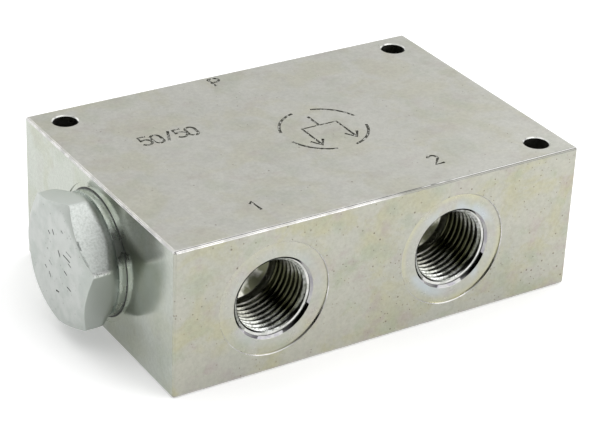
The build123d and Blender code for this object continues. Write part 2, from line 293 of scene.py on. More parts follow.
def rounded(profile, radius, steps=3):
    """The profile with each inner corner replaced by a small arc of that radius."""
    points = [Vector(p) for p in profile]
    result = [points[0]]
    for before, corner, after in zip(points, points[1:], points[2:]):
        arrive, leave = (before - corner).normalized(), (after - corner).normalized()
        reach = radius / math.tan(arrive.angle(leave) / 2)
        reach = min(reach, (before - corner).length / 2, (after - corner).length / 2)
        start, end = corner + arrive * reach, corner + leave * reach
        for i in range(steps + 1):
            t = i / steps
            result.append(start * (1 - t) ** 2 + corner * 2 * t * (1 - t) + end * t * t)
    return [tuple(p) for p in result + [points[-1]]]


def lathe(name, rows, columns, axis_place, turn):
    """Mesh turned about local X. Each row maps a share of the turn to (x, radius)."""
    vertices, faces = [], []
    for row in rows:
        for i in range(columns + 1):
            share = i / columns
            along, radius = row(share)
            angle = 2 * math.pi * share
            local = Vector((along, radius * math.cos(angle), radius * math.sin(angle)))
            vertices.append(turn @ local + Vector(axis_place))
    width = columns + 1
    for j in range(len(rows) - 1):
        for i in range(columns):
            a = j * width + i
            faces.append((a, a + 1, a + 1 + width, a + width))
    mesh = bpy.data.meshes.new(name)
    mesh.from_pydata(vertices, [], faces)
    return cleaned(mesh)


def plain_rows(profile):
    """Rows of a plain solid of revolution."""
    return [lambda share, point=point: point for point in profile]


def thread_radius(along):
    """Wall radius of the tapped thread at a distance along the axis from a crest's middle."""
    offset = abs((along + THREAD_PITCH / 2) % THREAD_PITCH - THREAD_PITCH / 2)
    root_centre = THREAD_RADIUS - THREAD_ROOT_ROUNDING
    tangent = THREAD_PITCH / 2 - THREAD_ROOT_ROUNDING * math.cos(THREAD_HALF_ANGLE)
    if offset > tangent:
        across = THREAD_PITCH / 2 - offset
        return root_centre + math.sqrt(max(THREAD_ROOT_ROUNDING ** 2 - across ** 2, 0))
    tangent_radius = root_centre + THREAD_ROOT_ROUNDING * math.sin(THREAD_HALF_ANGLE)
    flank = tangent_radius - (tangent - offset) / math.tan(THREAD_HALF_ANGLE)
    return max(flank, DRILL_RADIUS)


def mouth_radius(beyond):
    """Radius of the short wall, the shoulder and the lead-in at a depth beyond the countersink."""
    wall = MOUTH_RADIUS - MOUTH_CONE_DEPTH
    if beyond < MOUTH_WALL_DEPTH:
        return wall
    beyond -= MOUTH_WALL_DEPTH
    if beyond < SHOULDER_DEPTH:
        return wall - beyond / SHOULDER_DEPTH * (wall - SHOULDER_RADIUS)
    fall = min((beyond - SHOULDER_DEPTH) / LEAD_DEPTH, 1)
    return SHOULDER_RADIUS - fall * (SHOULDER_RADIUS - DRILL_RADIUS)


def port_wall(share, depth):
    """Radius of the tapped wall at a share of the turn and a depth from the block's face."""
    start = SPOTFACE_DEPTH + MOUTH_CONE_DEPTH
    radius = thread_radius(depth - start - (share + THREAD_PHASE) * THREAD_PITCH)
    fade = min(max((depth - THREAD_FULL_DEPTH) / (THREAD_END_DEPTH - THREAD_FULL_DEPTH), 0), 1)
    radius = min(radius, THREAD_RADIUS - fade * (THREAD_RADIUS - DRILL_RADIUS))
    return max(radius, mouth_radius(depth - start), DRILL_RADIUS)


def lead_rows():
    """Plane rings where the thread runs out into the shoulder behind the countersink."""
    start = SPOTFACE_DEPTH + MOUTH_CONE_DEPTH
    bends = [2 * RING_GAP, MOUTH_WALL_DEPTH - RING_GAP, MOUTH_WALL_DEPTH, MOUTH_WALL_DEPTH + SHOULDER_DEPTH]
    bends += [bends[-1] + LEAD_DEPTH * k / LEAD_RINGS for k in range(1, LEAD_RINGS)]
    depths = [start + bend for bend in bends]
    return [lambda share, depth=depth: (depth, port_wall(share, depth)) for depth in depths]


def thread_rows():
    """Rows that follow the helix from the end of the lead-in to the end of the thread."""
    root = THREAD_PITCH / 2
    tangent = root - THREAD_ROOT_ROUNDING * math.cos(THREAD_HALF_ANGLE)
    flank_height = THREAD_RADIUS - THREAD_ROOT_ROUNDING * (1 - math.sin(THREAD_HALF_ANGLE)) - DRILL_RADIUS
    crest = tangent - flank_height * math.tan(THREAD_HALF_ANGLE)
    half = [crest, (crest + tangent) / 2, tangent, root - THREAD_ROOT_ROUNDING / 2, root]
    steps = [0.0] + half + [THREAD_PITCH - s for s in reversed(half[:-1])]
    cone_end = SPOTFACE_DEPTH + MOUTH_CONE_DEPTH
    start = cone_end + MOUTH_WALL_DEPTH + SHOULDER_DEPTH + LEAD_DEPTH
    # Rows before the start and after the end are held there, so that all of the helix is met.
    pitches = math.ceil((THREAD_END_DEPTH - start) / THREAD_PITCH) + 3
    first = cone_end + (THREAD_PHASE - 2) * THREAD_PITCH

    def row_at(offset):
        def row(share):
            held = min(max(first + offset + share * THREAD_PITCH, start), THREAD_END_DEPTH)
            return held, port_wall(share, held)

        return row

    return [row_at(p * THREAD_PITCH + s) for p in range(pitches) for s in steps]


def port_cutter(name, mount, passage):
    """What the drill, the tap and the spotfacing tool take out at one port."""
    reach = (BODY_HIGH.y - BODY_LOW.y) / 2
    mouth = rounded(
        [
            (SPOTFACE_DEPTH, SPOTFACE_RADIUS),
            (SPOTFACE_DEPTH, MOUTH_RADIUS),
            (SPOTFACE_DEPTH + MOUTH_CONE_DEPTH, MOUTH_RADIUS - MOUTH_CONE_DEPTH),
        ],
        MOUTH_ROUNDING,
    )
    floor = rounded(
        [
            (THREAD_END_DEPTH, DRILL_RADIUS),
            (DRILL_DEPTH, DRILL_RADIUS),
            (DRILL_DEPTH + (DRILL_RADIUS - passage) * DRILL_POINT_SLOPE, passage),
        ],
        DRILL_ROUNDING,
    )
    wide = SPOTFACE_RADIUS + SPOTFACE_EDGE
    head = [(-EDGE_BREAK, 0.0), (-EDGE_BREAK, wide + EDGE_BREAK), (SPOTFACE_EDGE, SPOTFACE_RADIUS)] + mouth
    tail = floor + [(reach, passage), (reach, 0.0)]
    rows = plain_rows(head) + lead_rows() + thread_rows() + plain_rows(tail)
    outwards = mount["axis"][1]
    turn = Matrix.Rotation(math.radians(-90 * outwards), 3, "Z")
    place = (mount["pos_m"][0] / MM, outwards * reach, AXIS_HEIGHT)
    return lathe(name, rows, PORT_COLUMNS, place, turn)


def bore_profile():
    """The blind spool bore with the plug's mouth, three grooves and the spring pocket."""
    supply = PORTS[2]["pos_m"][0] / MM
    outlets = [PORTS[0]["pos_m"][0] / MM, PORTS[1]["pos_m"][0] / MM]
    face = BODY_LOW.x
    seat = face + PLUG_SPOTFACE_DEPTH
    stop = supply - STOP_FROM_SUPPLY + PLUG_RUNOUT
    end = supply + STOP_FROM_SUPPLY
    profile = [
        (face - EDGE_BREAK, 0.0),
        (face - EDGE_BREAK, PLUG_SPOTFACE_RADIUS),
        (seat, PLUG_SPOTFACE_RADIUS),
        # edge of the painted shade round the sealing ring
        (seat, RING_RADIUS + RING_SHADE),
        (seat, PLUG_MOUTH_RADIUS),
        (seat + PLUG_MOUTH_RADIUS - PLUG_THREAD_RADIUS, PLUG_THREAD_RADIUS),
        (stop, PLUG_THREAD_RADIUS),
        (stop, BORE_RADIUS),
    ]
    widths = (OUTLET_GROOVE_WIDTH, SUPPLY_GROOVE_WIDTH, OUTLET_GROOVE_WIDTH)
    for middle, width in zip((outlets[0], supply, outlets[1]), widths):
        left, right = middle - width / 2, middle + width / 2
        profile += [(left, BORE_RADIUS), (left, GROOVE_RADIUS), (right, GROOVE_RADIUS), (right, BORE_RADIUS)]
    pocket = end + POCKET_DEPTH
    return profile + [(end, BORE_RADIUS), (end, POCKET_RADIUS), (pocket, POCKET_RADIUS), (pocket, 0.0)]


def mount_hole_places():
    """Centres of the through holes, from the record's two bolt patterns."""
    rear, side = MOUNTS["rear_bolt_holes"], MOUNTS["end_bolt_holes"]
    x, y = rear["dims"]["spacing_x_mm"] / 2, side["dims"]["spacing_y_mm"] / 2
    return [(-x, y), (x, y), (x, -y)]


def mount_hole_cutter(place):
    """Through hole with broken edges."""
    wide = MOUNT_HOLE_RADIUS + MOUNT_HOLE_BREAK
    top, proud = BODY_HIGH.z, EDGE_BREAK
    profile = [
        (-proud, 0.0),
        (-proud, wide + proud),
        (MOUNT_HOLE_BREAK, MOUNT_HOLE_RADIUS),
        (top - MOUNT_HOLE_BREAK, MOUNT_HOLE_RADIUS),
        (top + proud, wide + proud),
        (top + proud, 0.0),
    ]
    turn = Matrix.Rotation(math.radians(-90), 3, "Y")
    return lathe("mount_hole_cutter", plain_rows(profile), MOUNT_HOLE_COLUMNS, (*place, 0.0), turn)


def blank_block():
    """The sawn and milled block with its edges broken, before any hole."""

    def rise(edge):
        return abs(edge.verts[0].co.z - edge.verts[1].co.z)

    low, high = BODY_LOW, BODY_HIGH
    work = bmesh.new()
    bmesh.ops.create_cube(work, size=1.0)
    for vertex in work.verts:
        for i in range(3):
            vertex.co[i] = high[i] if vertex.co[i] > 0 else low[i]
    rims = [e for e in work.edges if rise(e) < EDGE_BREAK]
    bmesh.ops.bevel(work, geom=rims, offset=EDGE_BREAK, segments=1, affect="EDGES")
    uprights = [e for e in work.edges if rise(e) > 2 * EDGE_BREAK]
    bmesh.ops.bevel(work, geom=uprights, offset=CORNER_BREAK, segments=1, affect="EDGES")
    sharp = [e for e in work.edges if e.calc_face_angle(0) > math.radians(ROUNDED_ANGLE)]
    bmesh.ops.bevel(work, geom=sharp, offset=EDGE_ROUNDING, segments=3, affect="EDGES")
    bmesh.ops.recalc_face_normals(work, faces=work.faces)
    mesh = bpy.data.meshes.new("blank_block")
    work.to_mesh(mesh)
    work.free()
    return mesh


def arc(centre, radius, start, end, steps=10):
    """Points on an arc, angles in degrees."""
    angles = [math.radians(start + (end - start) * i / steps) for i in range(steps + 1)]
    return [(centre[0] + radius * math.cos(a), centre[1] + radius * math.sin(a)) for a in angles]


def glyph(character):
    """Strokes of a stamped character, in a box of height 1 that is centred on x = 0."""
    bowl = arc((0.08, 0.75), 0.25, 90, -90)
    return {
        "P": [[(-0.25, 0), (-0.25, 1)], [(-0.25, 1)] + bowl + [(-0.25, 0.5)]],
        "1": [[(0.02, 0), (0.02, 1), (-0.2, 0.78)]],
        "2": [arc((0, 0.72), 0.28, 160, -30) + [(-0.28, 0), (0.3, 0)]],
        "5": [[(0.26, 1), (-0.2, 1), (-0.24, 0.56)] + arc((0, 0.32), 0.32, 130, -150)],
        "0": [arc((0, 0.72), 0.28, 0, 180) + arc((0, 0.28), 0.28, 180, 360) + [(0.28, 0.72)]],
        "/": [[(-0.2, -0.05), (0.22, 1.05)]],
    }[character]


def stamped(text, centre, height):
    """Strokes of a row of separate punches, each set by hand a little out of true."""
    strokes = []
    for i, character in enumerate(text):
        shift = (i - (len(text) - 1) / 2) * STAMP_SPACING * height
        slant = math.radians(STAMP_SLANT * math.sin(2.7 * i + centre[0]))
        rise = STAMP_RISE * height * math.sin(4.1 * i + centre[1])
        for stroke in glyph(character):
            points = []
            for x, y in stroke:
                x, y = x * height, (y - 0.5) * height
                turned_x = x * math.cos(slant) - y * math.sin(slant)
                turned_y = x * math.sin(slant) + y * math.cos(slant)
                points.append((centre[0] + shift + turned_x, centre[1] + rise + turned_y))
            strokes.append(points)
    return strokes


def flow_symbol():
    """Plain sign for one flow that is split in two, inside a broken ring."""
    cx, cy = SYMBOL_CENTRE
    r = SYMBOL_RADIUS
    half, top, bar, foot = 0.45 * r, 0.68 * r, 0.2 * r, 0.62 * r
    barb_width, barb_height = 0.16 * r, 0.26 * r
    ring = [arc(SYMBOL_CENTRE, r, start, start + 62, 14) for start in (14, 104, 194, 284)]
    stem = [(cx, cy + top), (cx, cy + bar)]
    fork = [(cx - half, cy - foot), (cx - half, cy + bar), (cx + half, cy + bar), (cx + half, cy - foot)]
    barbs = []
    for x in (cx - half, cx + half):
        y = cy - top + barb_height
        barbs.append([(x - barb_width, y), (x, cy - top), (x + barb_width, y)])
    return ring + [stem, fork] + barbs


def stamp_strokes():
    """Every stroke on the top face: port marks, the split ratio and the flow symbol."""
    strokes = [stroke for mark, centre in STAMPS for stroke in stamped(mark, centre, STAMP_HEIGHT)]
    return strokes + flow_symbol()


def groove_cutter(points, radius):
    """Round bar along a line of points, which leaves a groove where it is half sunk in a face."""
    curve = bpy.data.curves.new("stroke", "CURVE")
    curve.dimensions = "3D"
    curve.bevel_depth = radius
    curve.bevel_resolution = 2
    curve.use_fill_caps = True
    spline = curve.splines.new("POLY")
    spline.points.add(len(points) - 1)
    for place, point in zip(spline.points, points):
        place.co = (*point, 1)
    holder = bpy.data.objects.new("stroke", curve)
    mesh = bpy.data.meshes.new_from_object(holder)
    bpy.data.objects.remove(holder)
    return cleaned(mesh)


def cut(mesh, cutters):
    """The mesh less each cutter in turn."""
    block = placed("work", mesh)
    tools = [placed("tool", cutter) for cutter in cutters]
    for tool in tools:
        boolean = block.modifiers.new("cut", "BOOLEAN")
        boolean.solver = "MANIFOLD"
        boolean.operation = "DIFFERENCE"
        boolean.object = tool
    graph = bpy.context.evaluated_depsgraph_get()
    result = bpy.data.meshes.new_from_object(block.evaluated_get(graph))
    for used in [block] + tools:
        bpy.data.objects.remove(used)
    return result


def outer_zone(centre, normal):
    """Material of the block's outer faces and their broken edges."""
    if normal.x < -END_NORMAL:
        return GROUND
    in_front = normal.y < -FRONT_TILT and centre.y < BODY_LOW.y + 2 * EDGE_BREAK
    # narrow line of painted shade and painted highlight along the top front edge
    if in_front and EDGE_LINE_RANGE[0] < normal.z < EDGE_LINE_RANGE[1]:
        return PAINTED_EDGE_LINE
    if abs(normal.z) < UPRIGHT:
        return MILLED_SIDE
    return EDGE if abs(normal.z) < LEVEL else MILLED_TOP


def port_zone(mount, centre, normal, otherwise):
    """Material inside one port, whose shoulder gets a painted highlight on one side only."""
    outwards = mount["axis"][1]
    rightwards = (mount["pos_m"][0] / MM - centre.x) * outwards
    height = centre.z - AXIS_HEIGHT
    across = math.hypot(rightwards, height)
    depth = BODY_HIGH.y - abs(centre.y)
    beside = across >= SPOTFACE_RADIUS + SPOTFACE_EDGE + NUDGE or centre.y * outwards <= 0
    if beside or depth <= SPOTFACE_EDGE / 4:
        return otherwise
    if depth > THREAD_END_DEPTH - THREAD_PITCH / 2:
        cone = depth > DRILL_DEPTH + CONE_GAP and across > SUPPLY_PASSAGE_RADIUS / 2
        return DRILLED if cone else BORED
    if across > MOUTH_RADIUS - MOUTH_ROUNDING and depth < 2 * SPOTFACE_DEPTH:
        return TURNED if depth > SPOTFACE_EDGE else EDGE
    beyond = depth - SPOTFACE_DEPTH - MOUTH_CONE_DEPTH
    if beyond < 0:
        return MOUTH
    if beyond < MOUTH_WALL_DEPTH + SHOULDER_DEPTH:
        if abs(normal.y) < SHOULDER_NORMAL:
            # the step's short wall: painted shade
            return SHADED_GAP
        # lighter shoulder finish on one side only: painted highlight
        bright = HIGHLIGHT_SIDE[0] * rightwards + HIGHLIGHT_SIDE[1] * height
        return SHOULDER if bright > HIGHLIGHT_LIMIT * across else THREADED
    return THREADED


def bore_zone(centre, otherwise):
    """Material of the plug's spotface and of the spool bore with its grooves."""
    across = math.hypot(centre.y, centre.z - AXIS_HEIGHT)
    outside = across >= PLUG_SPOTFACE_RADIUS + NUDGE or centre.x <= BODY_LOW.x + PLUG_SPOTFACE_DEPTH / 4
    if outside or otherwise == THREADED:
        return otherwise
    if centre.x < BODY_LOW.x + END_GAP:
        # the seat just outside the sealing ring: painted shade
        return GROUND if across > RING_RADIUS + RING_SHADE else SHADED_GAP
    inside = abs(centre.y) < PASSAGE_REACH and centre.x < BODY_HIGH.x - END_GAP
    return BORED if inside else otherwise


def block_zones(mesh):
    """Give each face of the block its material."""
    holes = mount_hole_places()
    for face in mesh.polygons:
        centre, normal = face.center, face.normal
        zone = outer_zone(centre, normal)
        for mount in PORTS:
            zone = port_zone(mount, centre, normal, zone)
        zone = bore_zone(centre, zone)
        across = min(math.hypot(centre.x - x, centre.y - y) for x, y in holes)
        if across < MOUNT_HOLE_RADIUS + MOUNT_HOLE_BREAK:
            zone = BORED if abs(normal.z) < UPRIGHT else SHOULDER
        inner = all(BODY_HIGH[i] - abs(centre[i]) > 2 * EDGE_BREAK for i in (0, 1))
        sunk = BODY_HIGH.z - 2 * STAMP_GROOVE_RADIUS < centre.z < BODY_HIGH.z - FLAT_GAP
        if inner and sunk and zone in (MILLED_TOP, MILLED_SIDE, EDGE):
            zone = STAMPED
        face.material_index = zone


def outer_plane_edges(mesh):
    """Edges round the block's flat outer faces, which stay flat up to them."""
    index = {tuple(sorted(edge.vertices)): edge.index for edge in mesh.edges}
    chosen = set()
    for face in mesh.polygons:
        gaps = [min(abs(face.center[i] - BODY_LOW[i]), abs(face.center[i] - BODY_HIGH[i])) for i in range(3)]
        if any(gap < FLAT_GAP and abs(n) > FLAT_NORMAL for gap, n in zip(gaps, face.normal)):
            chosen.update(index[tuple(sorted(key))] for key in face.edge_keys)
    return chosen


def make_block():
    """The drilled, tapped and stamped block that the photograph shows."""
    height = BODY_HIGH.z + STAMP_CENTRE_HEIGHT
    lines = [[(x, y, height) for x, y in stroke] for stroke in stamp_strokes()]
    cutters = [groove_cutter(line, STAMP_GROOVE_RADIUS) for line in lines]
    bore = plain_rows(bore_profile())
    cutters.append(lathe("bore_cutter", bore, BORE_COLUMNS, (0, 0, AXIS_HEIGHT), Matrix.Identity(3)))
    cutters += [mount_hole_cutter(place) for place in mount_hole_places()]
    for mount, passage in zip(PORTS, (OUTLET_PASSAGE_RADIUS, OUTLET_PASSAGE_RADIUS, SUPPLY_PASSAGE_RADIUS)):
        cutters.append(port_cutter(mount["name"] + "_cutter", mount, passage))
    mesh = cut(blank_block(), cutters)
    mesh.materials.clear()
    finishes = [
        milled_zinc("milled_zinc_top", 0.3, 0.1),
        turned_zinc(),
        threaded_steel(),
        stamped_zinc(),
        ground_zinc(),
        milled_zinc("milled_zinc_side", 0.75, 0.42),
        bored_steel(),
        painted_gap_shade(),
        drill_point_steel(),
        edge_zinc(),
        mouth_zinc("mouth_zinc", (0.33, 0.32, 0.345), (0.40, 0.40, 0.39), 0.06),
        # lighter shoulder finish: painted highlight on one side of each port's shoulder, and the mount
        # holes' rims
        mouth_zinc("shoulder_zinc", (0.62, 0.62, 0.60), (0.50, 0.51, 0.48), 0.22),
        painted_edge_line(),
    ]
    for material in finishes:
        mesh.materials.append(material)
    block_zones(mesh)
    planes = outer_plane_edges(mesh)
    block = finished("drilled_block", mesh, BLOCK_SHARP_ANGLE)
    for edge in planes:
        mesh.edges[edge].use_edge_sharp = True
    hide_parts("valve_body")
    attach(block, "housing")
    return block


def hex_radius(share):
    """Distance from the plug's axis to its side, at a share of the turn."""
    degrees = 360 * share - HEX_TURN - 30
    offset = math.radians((degrees + 30) % 60 - 30)
    flat = HEX_APOTHEM / math.cos(offset)
    soft = HEX_CORNER_ROUNDING
    h = max(soft - abs(flat - HEX_CORNER_RADIUS), 0) / soft
    return min(flat, HEX_CORNER_RADIUS) - h * h * soft / 4


def plug_rows():
    """Rows of the plug: flat end, chamfer, hexagon side, back chamfer, seat, then the shank."""
    end_x = PLUG_LOW.x
    seat_x = end_x + HEX_HEIGHT
    shank_x = PLUG_HIGH.x
    thread = PLUG_THREAD_RADIUS - PLUG_THREAD_CLEARANCE
    pocket_x = shank_x - POCKET_DEPTH
    undercut_x = seat_x + PLUG_UNDERCUT_WIDTH

    def head(share):
        side = hex_radius(share)
        outline = [
            (end_x, HEX_CROWN_RADIUS - HEX_CROWN_EASE),
            (end_x, HEX_CROWN_RADIUS),
            (end_x + (side - HEX_CROWN_RADIUS) * HEX_CHAMFER_SLOPE, side),
            (seat_x - HEX_BACK_LENGTH - (side - HEX_APOTHEM) * HEX_CHAMFER_SLOPE, side),
            (seat_x, HEX_SEAT_RADIUS),
            (seat_x, HEX_SEAT_RADIUS - HEX_SEAT_EASE),
        ]
        soft = rounded(outline[:3], HEX_CROWN_ROUNDING, 6)[:-1]
        soft += rounded(outline[1:4], HEX_EDGE_ROUNDING, 4)[1:-1]
        middle = len(soft)
        soft += rounded(outline[2:5], HEX_BACK_ROUNDING, 6)[1:-1]
        soft += rounded(outline[3:], HEX_EDGE_ROUNDING, 4)[1:]
        low, high = soft[middle - 1], soft[middle]
        belly = [
            tuple(a + (b - a) * k / SIDE_RINGS for a, b in zip(low, high)) for k in range(1, SIDE_RINGS)
        ]
        return soft[:middle] + belly + soft[middle:]

    outlines = [head(i / PLUG_COLUMNS) for i in range(PLUG_COLUMNS + 1)]
    flat_radius = HEX_CROWN_RADIUS - HEX_CROWN_EASE
    rows = plain_rows([(end_x, flat_radius * k / END_RINGS) for k in range(END_RINGS)])
    rows += [lambda share, j=j: outlines[round(share * PLUG_COLUMNS)][j] for j in range(len(outlines[0]))]
    shank = [
        (seat_x, PLUG_UNDERCUT_RADIUS),
        (undercut_x, PLUG_UNDERCUT_RADIUS),
        (undercut_x + thread - PLUG_UNDERCUT_RADIUS, thread),
        (shank_x - PLUG_END_BREAK, thread),
        (shank_x, thread - PLUG_END_BREAK),
        (shank_x, POCKET_RADIUS),
        (pocket_x, POCKET_RADIUS),
        (pocket_x, 0.0),
    ]
    return rows + plain_rows(shank)


def plug_direction(degrees):
    """Unit vector square to the plug's axis, turned from +Y towards +Z."""
    angle = math.radians(degrees)
    return 0.0, math.cos(angle), math.sin(angle)


def plug_wear():
    """Thin bars that leave the dents in the plug's end and the nicks in its upper flat."""
    _, out_y, out_z = plug_direction(UPPER_FLAT_TURN)
    lines = []
    for i, dent in enumerate(END_DENTS):
        proud = DENT_RADIUS * (DENT_RISE + DENT_RISE_SPREAD * math.sin(5.0 * i))
        lines.append([(PLUG_LOW.x - proud, y, z) for y, z in dent])
    for nick in FLAT_NICKS:
        line = []
        for x, side in nick:
            y, z = HEX_APOTHEM * out_y + side * out_z, HEX_APOTHEM * out_z - side * out_y
            line.append((x, y, AXIS_HEIGHT + z))
        lines.append(line)
    return [groove_cutter(line, DENT_RADIUS) for line in lines]


def make_plug():
    """Forged hexagon plug with a turned end, chamfers and shank."""
    mesh = lathe("plug", plug_rows(), PLUG_COLUMNS, (0, 0, AXIS_HEIGHT), Matrix.Identity(3))
    mesh = cut(mesh, plug_wear())
    mesh.materials.clear()
    mesh.materials.append(plug_zinc())
    plug = finished("hexagon_plug", mesh, PLUG_SHARP_ANGLE)
    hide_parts("end_plug")
    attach(plug, "housing")
    return plug


class Nodes:
    """Short way to write the node tree of a material or of the world."""

    def __init__(self, owner, shader="Principled BSDF"):
        owner.use_nodes = True
        self.owner = owner
        self.tree = owner.node_tree
        self.shader = self.tree.nodes[shader]

    def add(self, kind, inputs=None, **settings):
        node = self.tree.nodes.new(kind)
        for key, value in settings.items():
            setattr(node, key, value)
        for key, value in (inputs or {}).items():
            self.put(node.inputs[key], value)
        return node

    def put(self, socket, value):
        """Link a socket to an input, or set the input's value; a colour is (red, green, blue)."""
        if isinstance(value, bpy.types.NodeSocket):
            self.tree.links.new(value, socket)
        else:
            socket.default_value = (*value, 1) if socket.type == "RGBA" else value

    def place(self, scale=(1, 1, 1)):
        """Object coordinates in millimetres, stretched along each axis."""
        source = self.add("ShaderNodeTexCoord").outputs["Object"]
        size = tuple(s / MM for s in scale)
        return self.add("ShaderNodeMapping", {"Vector": source, "Scale": size}).outputs["Vector"]

    def clouds(self, wavelength, detail=3.0, roughness=0.55, stretch=(1, 1, 1), distortion=0.0):
        """Noise from about 0.25 to 0.75, whose features are about that many millimetres wide."""
        inputs = {
            "Vector": self.place(stretch),
            "Scale": 1 / wavelength,
            "Detail": detail,
            "Roughness": roughness,
            "Distortion": distortion,
        }
        return self.add("ShaderNodeTexNoise", inputs).outputs["Fac"]

    def ramp(self, value, low, high, start=0.0, end=1.0):
        """value from low to high becomes start to end, held outside."""
        inputs = {"Value": value, "From Min": low, "From Max": high, "To Min": start, "To Max": end}
        node = self.add("ShaderNodeMapRange", inputs, interpolation_type="SMOOTHSTEP")
        return node.outputs["Result"]

    def patchy(self, low, high, *clouds):
        """From low to high in soft patches, with the settings of the clouds."""
        return self.ramp(self.clouds(*clouds), 0.3, 0.7, low, high)

    def axes(self, vector=None):
        """X, Y and Z of a vector, or of the place in millimetres."""
        vector = self.place() if vector is None else vector
        return self.add("ShaderNodeSeparateXYZ", {"Vector": vector}).outputs

    def towards(self, vector, direction):
        """1 where a unit vector points that way, 0 square to it."""
        node = self.add("ShaderNodeVectorMath", {0: vector, 1: direction}, operation="DOT_PRODUCT")
        return node.outputs["Value"]

    def math(self, operation, a, b=0.0):
        node = self.add("ShaderNodeMath", operation=operation)
        self.put(node.inputs[0], a)
        self.put(node.inputs[1], b)
        return node.outputs[0]

    def times(self, a, b):
        return self.math("MULTIPLY", a, b)

    def mix(self, factor, a, b, blend="MIX"):
        node = self.add("ShaderNodeMix", data_type="RGBA", blend_type=blend)
        self.put(node.inputs["Factor"], factor)
        self.put(node.inputs["A"], a)
        self.put(node.inputs["B"], b)
        return node.outputs["Result"]

    def bump(self, height, distance, strength=1.0, under=None):
        inputs = {"Height": height, "Distance": distance * MM, "Strength": strength}
        if under is not None:
            inputs["Normal"] = under
        return self.add("ShaderNodeBump", inputs).outputs["Normal"]

    def finish(self, color, roughness, normal=None):
        self.put(self.shader.inputs["Base Color"], color)
        self.put(self.shader.inputs["Roughness"], roughness)
        if normal is not None:
            self.put(self.shader.inputs["Normal"], normal)
        return self.owner


def surface(name, metallic=1.0):
    """Nodes of a new material."""
    nodes = Nodes(bpy.data.materials.new(name))
    nodes.put(nodes.shader.inputs["Metallic"], metallic)
    return nodes


def zinc_color(nodes, strength, warmth=0.4):
    """Pale plating whose film is a little yellow, green or pink from place to place, with darker patches."""
    yellow = nodes.ramp(nodes.clouds(12, 4, 0.6, distortion=0.6), 0.44, 0.64, 0, strength)
    green = nodes.ramp(nodes.clouds(9, 3, 0.5, (1.1, 0.9, 1.3)), 0.50, 0.68, 0, 0.8 * strength)
    pink = nodes.ramp(nodes.clouds(7, 4, 0.6, (0.8, 1.2, 1.0)), 0.52, 0.70, 0, 0.8 * strength)
    darkened = nodes.ramp(nodes.clouds(16, 5, 0.65, (1.0, 1.0, 0.7)), 0.42, 0.68, 0, 0.5 * strength)
    color = nodes.mix(warmth, GREY, WARM)
    color = nodes.mix(yellow, color, YELLOW)
    color = nodes.mix(green, color, GREEN)
    color = nodes.mix(pink, color, PINK)
    color = nodes.mix(darkened, color, DULL)
    grain = nodes.patchy(0.87, 0.99, 0.9, 4, 0.7)
    lit = nodes.add("ShaderNodeCombineColor", {"Red": grain, "Green": grain, "Blue": grain}).outputs["Color"]
    return nodes.mix(1.0, color, lit, "MULTIPLY")


def pits(nodes, size, share, patch):
    """1 in scattered dark pinholes about size wide, 0 elsewhere."""
    inputs = {"Vector": nodes.place(), "Scale": 1 / (4 * size), "Randomness": 1.0}
    cells = nodes.add("ShaderNodeTexVoronoi", inputs)
    near = nodes.ramp(cells.outputs["Distance"], 0.10, 0.20, 1, 0)
    chosen = nodes.add("ShaderNodeSeparateColor", {"Color": cells.outputs["Color"]}).outputs["Red"]
    kept = nodes.math("LESS_THAN", chosen, share)
    patches = nodes.ramp(nodes.clouds(patch, 3), 0.40, 0.58)
    return nodes.times(nodes.times(near, kept), patches)


def square_sum(nodes, a, b):
    """Square of the distance whose two parts are a and b."""
    return nodes.math("ADD", nodes.times(a, a), nodes.times(b, b))


def milled_zinc(name, strength, share):
    """Milled and zinc plated faces of the block, with a share of pinholes."""
    nodes = surface(name)
    color = zinc_color(nodes, strength, strength)
    grain = nodes.clouds(0.5, 5, 0.7)
    holes = nodes.math("MAXIMUM", pits(nodes, 0.28, share, 14), pits(nodes, 0.42, 0.6 * share, 20))
    color = nodes.mix(nodes.times(holes, 0.65), color, PIT)
    rough = nodes.patchy(0.36, 0.5, 6, 5, 0.65)
    fine = nodes.bump(grain, 0.012)
    wave = nodes.bump(nodes.clouds(5, 2), 0.03, 1.0, fine)
    normal = nodes.bump(nodes.times(holes, -1), 0.05, 1.0, wave)
    return nodes.finish(color, rough, normal)


def ground_zinc():
    """The smoother left end of the block, which mirrors the plug."""
    nodes = surface("ground_zinc")
    color = nodes.mix(1.0, zinc_color(nodes, 0.3, 0.0), (0.88, 0.93, 0.885), "MULTIPLY")
    rough = nodes.patchy(0.12, 0.19, 7, 4)
    normal = nodes.bump(nodes.clouds(0.6, 4, 0.6), 0.003)
    return nodes.finish(color, rough, normal)


def turned_zinc():
    """Spotfaces round the ports, with a film that is bluish near the mouth and yellow at the rim."""
    nodes = surface("turned_zinc")
    color = zinc_color(nodes, 0.6, 0.7)
    sideways, height, _ = outlet_place(nodes)
    across = nodes.math("SQRT", square_sum(nodes, sideways, height))
    film = nodes.clouds(11, 2)
    strength = nodes.ramp(nodes.axes()["X"], -20, 0, 0.4, 1)
    inner = nodes.times(nodes.ramp(across, 14.3, 11.8), strength)
    outer = nodes.times(nodes.ramp(across, 13.2, 15.0), strength)
    color = nodes.mix(nodes.times(inner, nodes.ramp(film, 0.40, 0.58, 0.1, 0.65)), color, BLUE)
    color = nodes.mix(nodes.times(outer, nodes.ramp(film, 0.62, 0.42, 0.0, 0.6)), color, FILM_YELLOW)
    rough = nodes.patchy(0.26, 0.36, 3, 3)
    normal = nodes.bump(nodes.clouds(0.4, 4, 0.6), 0.004)
    return nodes.finish(color, rough, normal)


